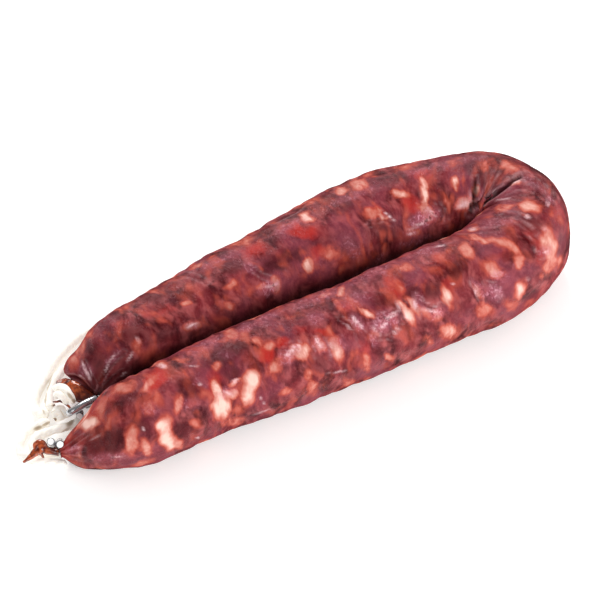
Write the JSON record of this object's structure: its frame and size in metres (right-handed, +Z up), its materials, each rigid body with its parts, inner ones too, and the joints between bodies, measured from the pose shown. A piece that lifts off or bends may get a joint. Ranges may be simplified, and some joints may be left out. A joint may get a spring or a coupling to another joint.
{
  "type": "cured sausage",
  "caption": "Horseshoe cured sausage in a natural casing, both ends closed with wire clips and tied together with cotton string.",
  "frame": {"origin": "middle of the underside of the sausage, tails, clips and knot, on the surface it lies on", "axes": "+X along the two arms towards the bend, +Y across from the near arm to the far arm, +Z up"},
  "size_m": [0.1938, 0.0698, 0.0345],
  "materials": {
    "cured_meat_casing": "semi-gloss natural casing, dried tight over coarse lean and fat, with fine wrinkles",
    "empty_casing": "thin dry translucent casing, crumpled, brown",
    "aluminium_wire": "bright drawn wire",
    "cotton_string": "soft twisted white cotton"
  },
  "bodies": {
    "root": {"sausage": "cured_meat_casing", "casing_tail_near": "empty_casing", "casing_tail_far": "empty_casing", "clip_near": "aluminium_wire", "clip_far": "aluminium_wire", "string_knot": "cotton_string", "string_neck_wrap": "cotton_string", "string_hanging_loop": "cotton_string", "string_tie_outer": "cotton_string", "string_tie_inner": "cotton_string"}
  },
  "joints": []
}
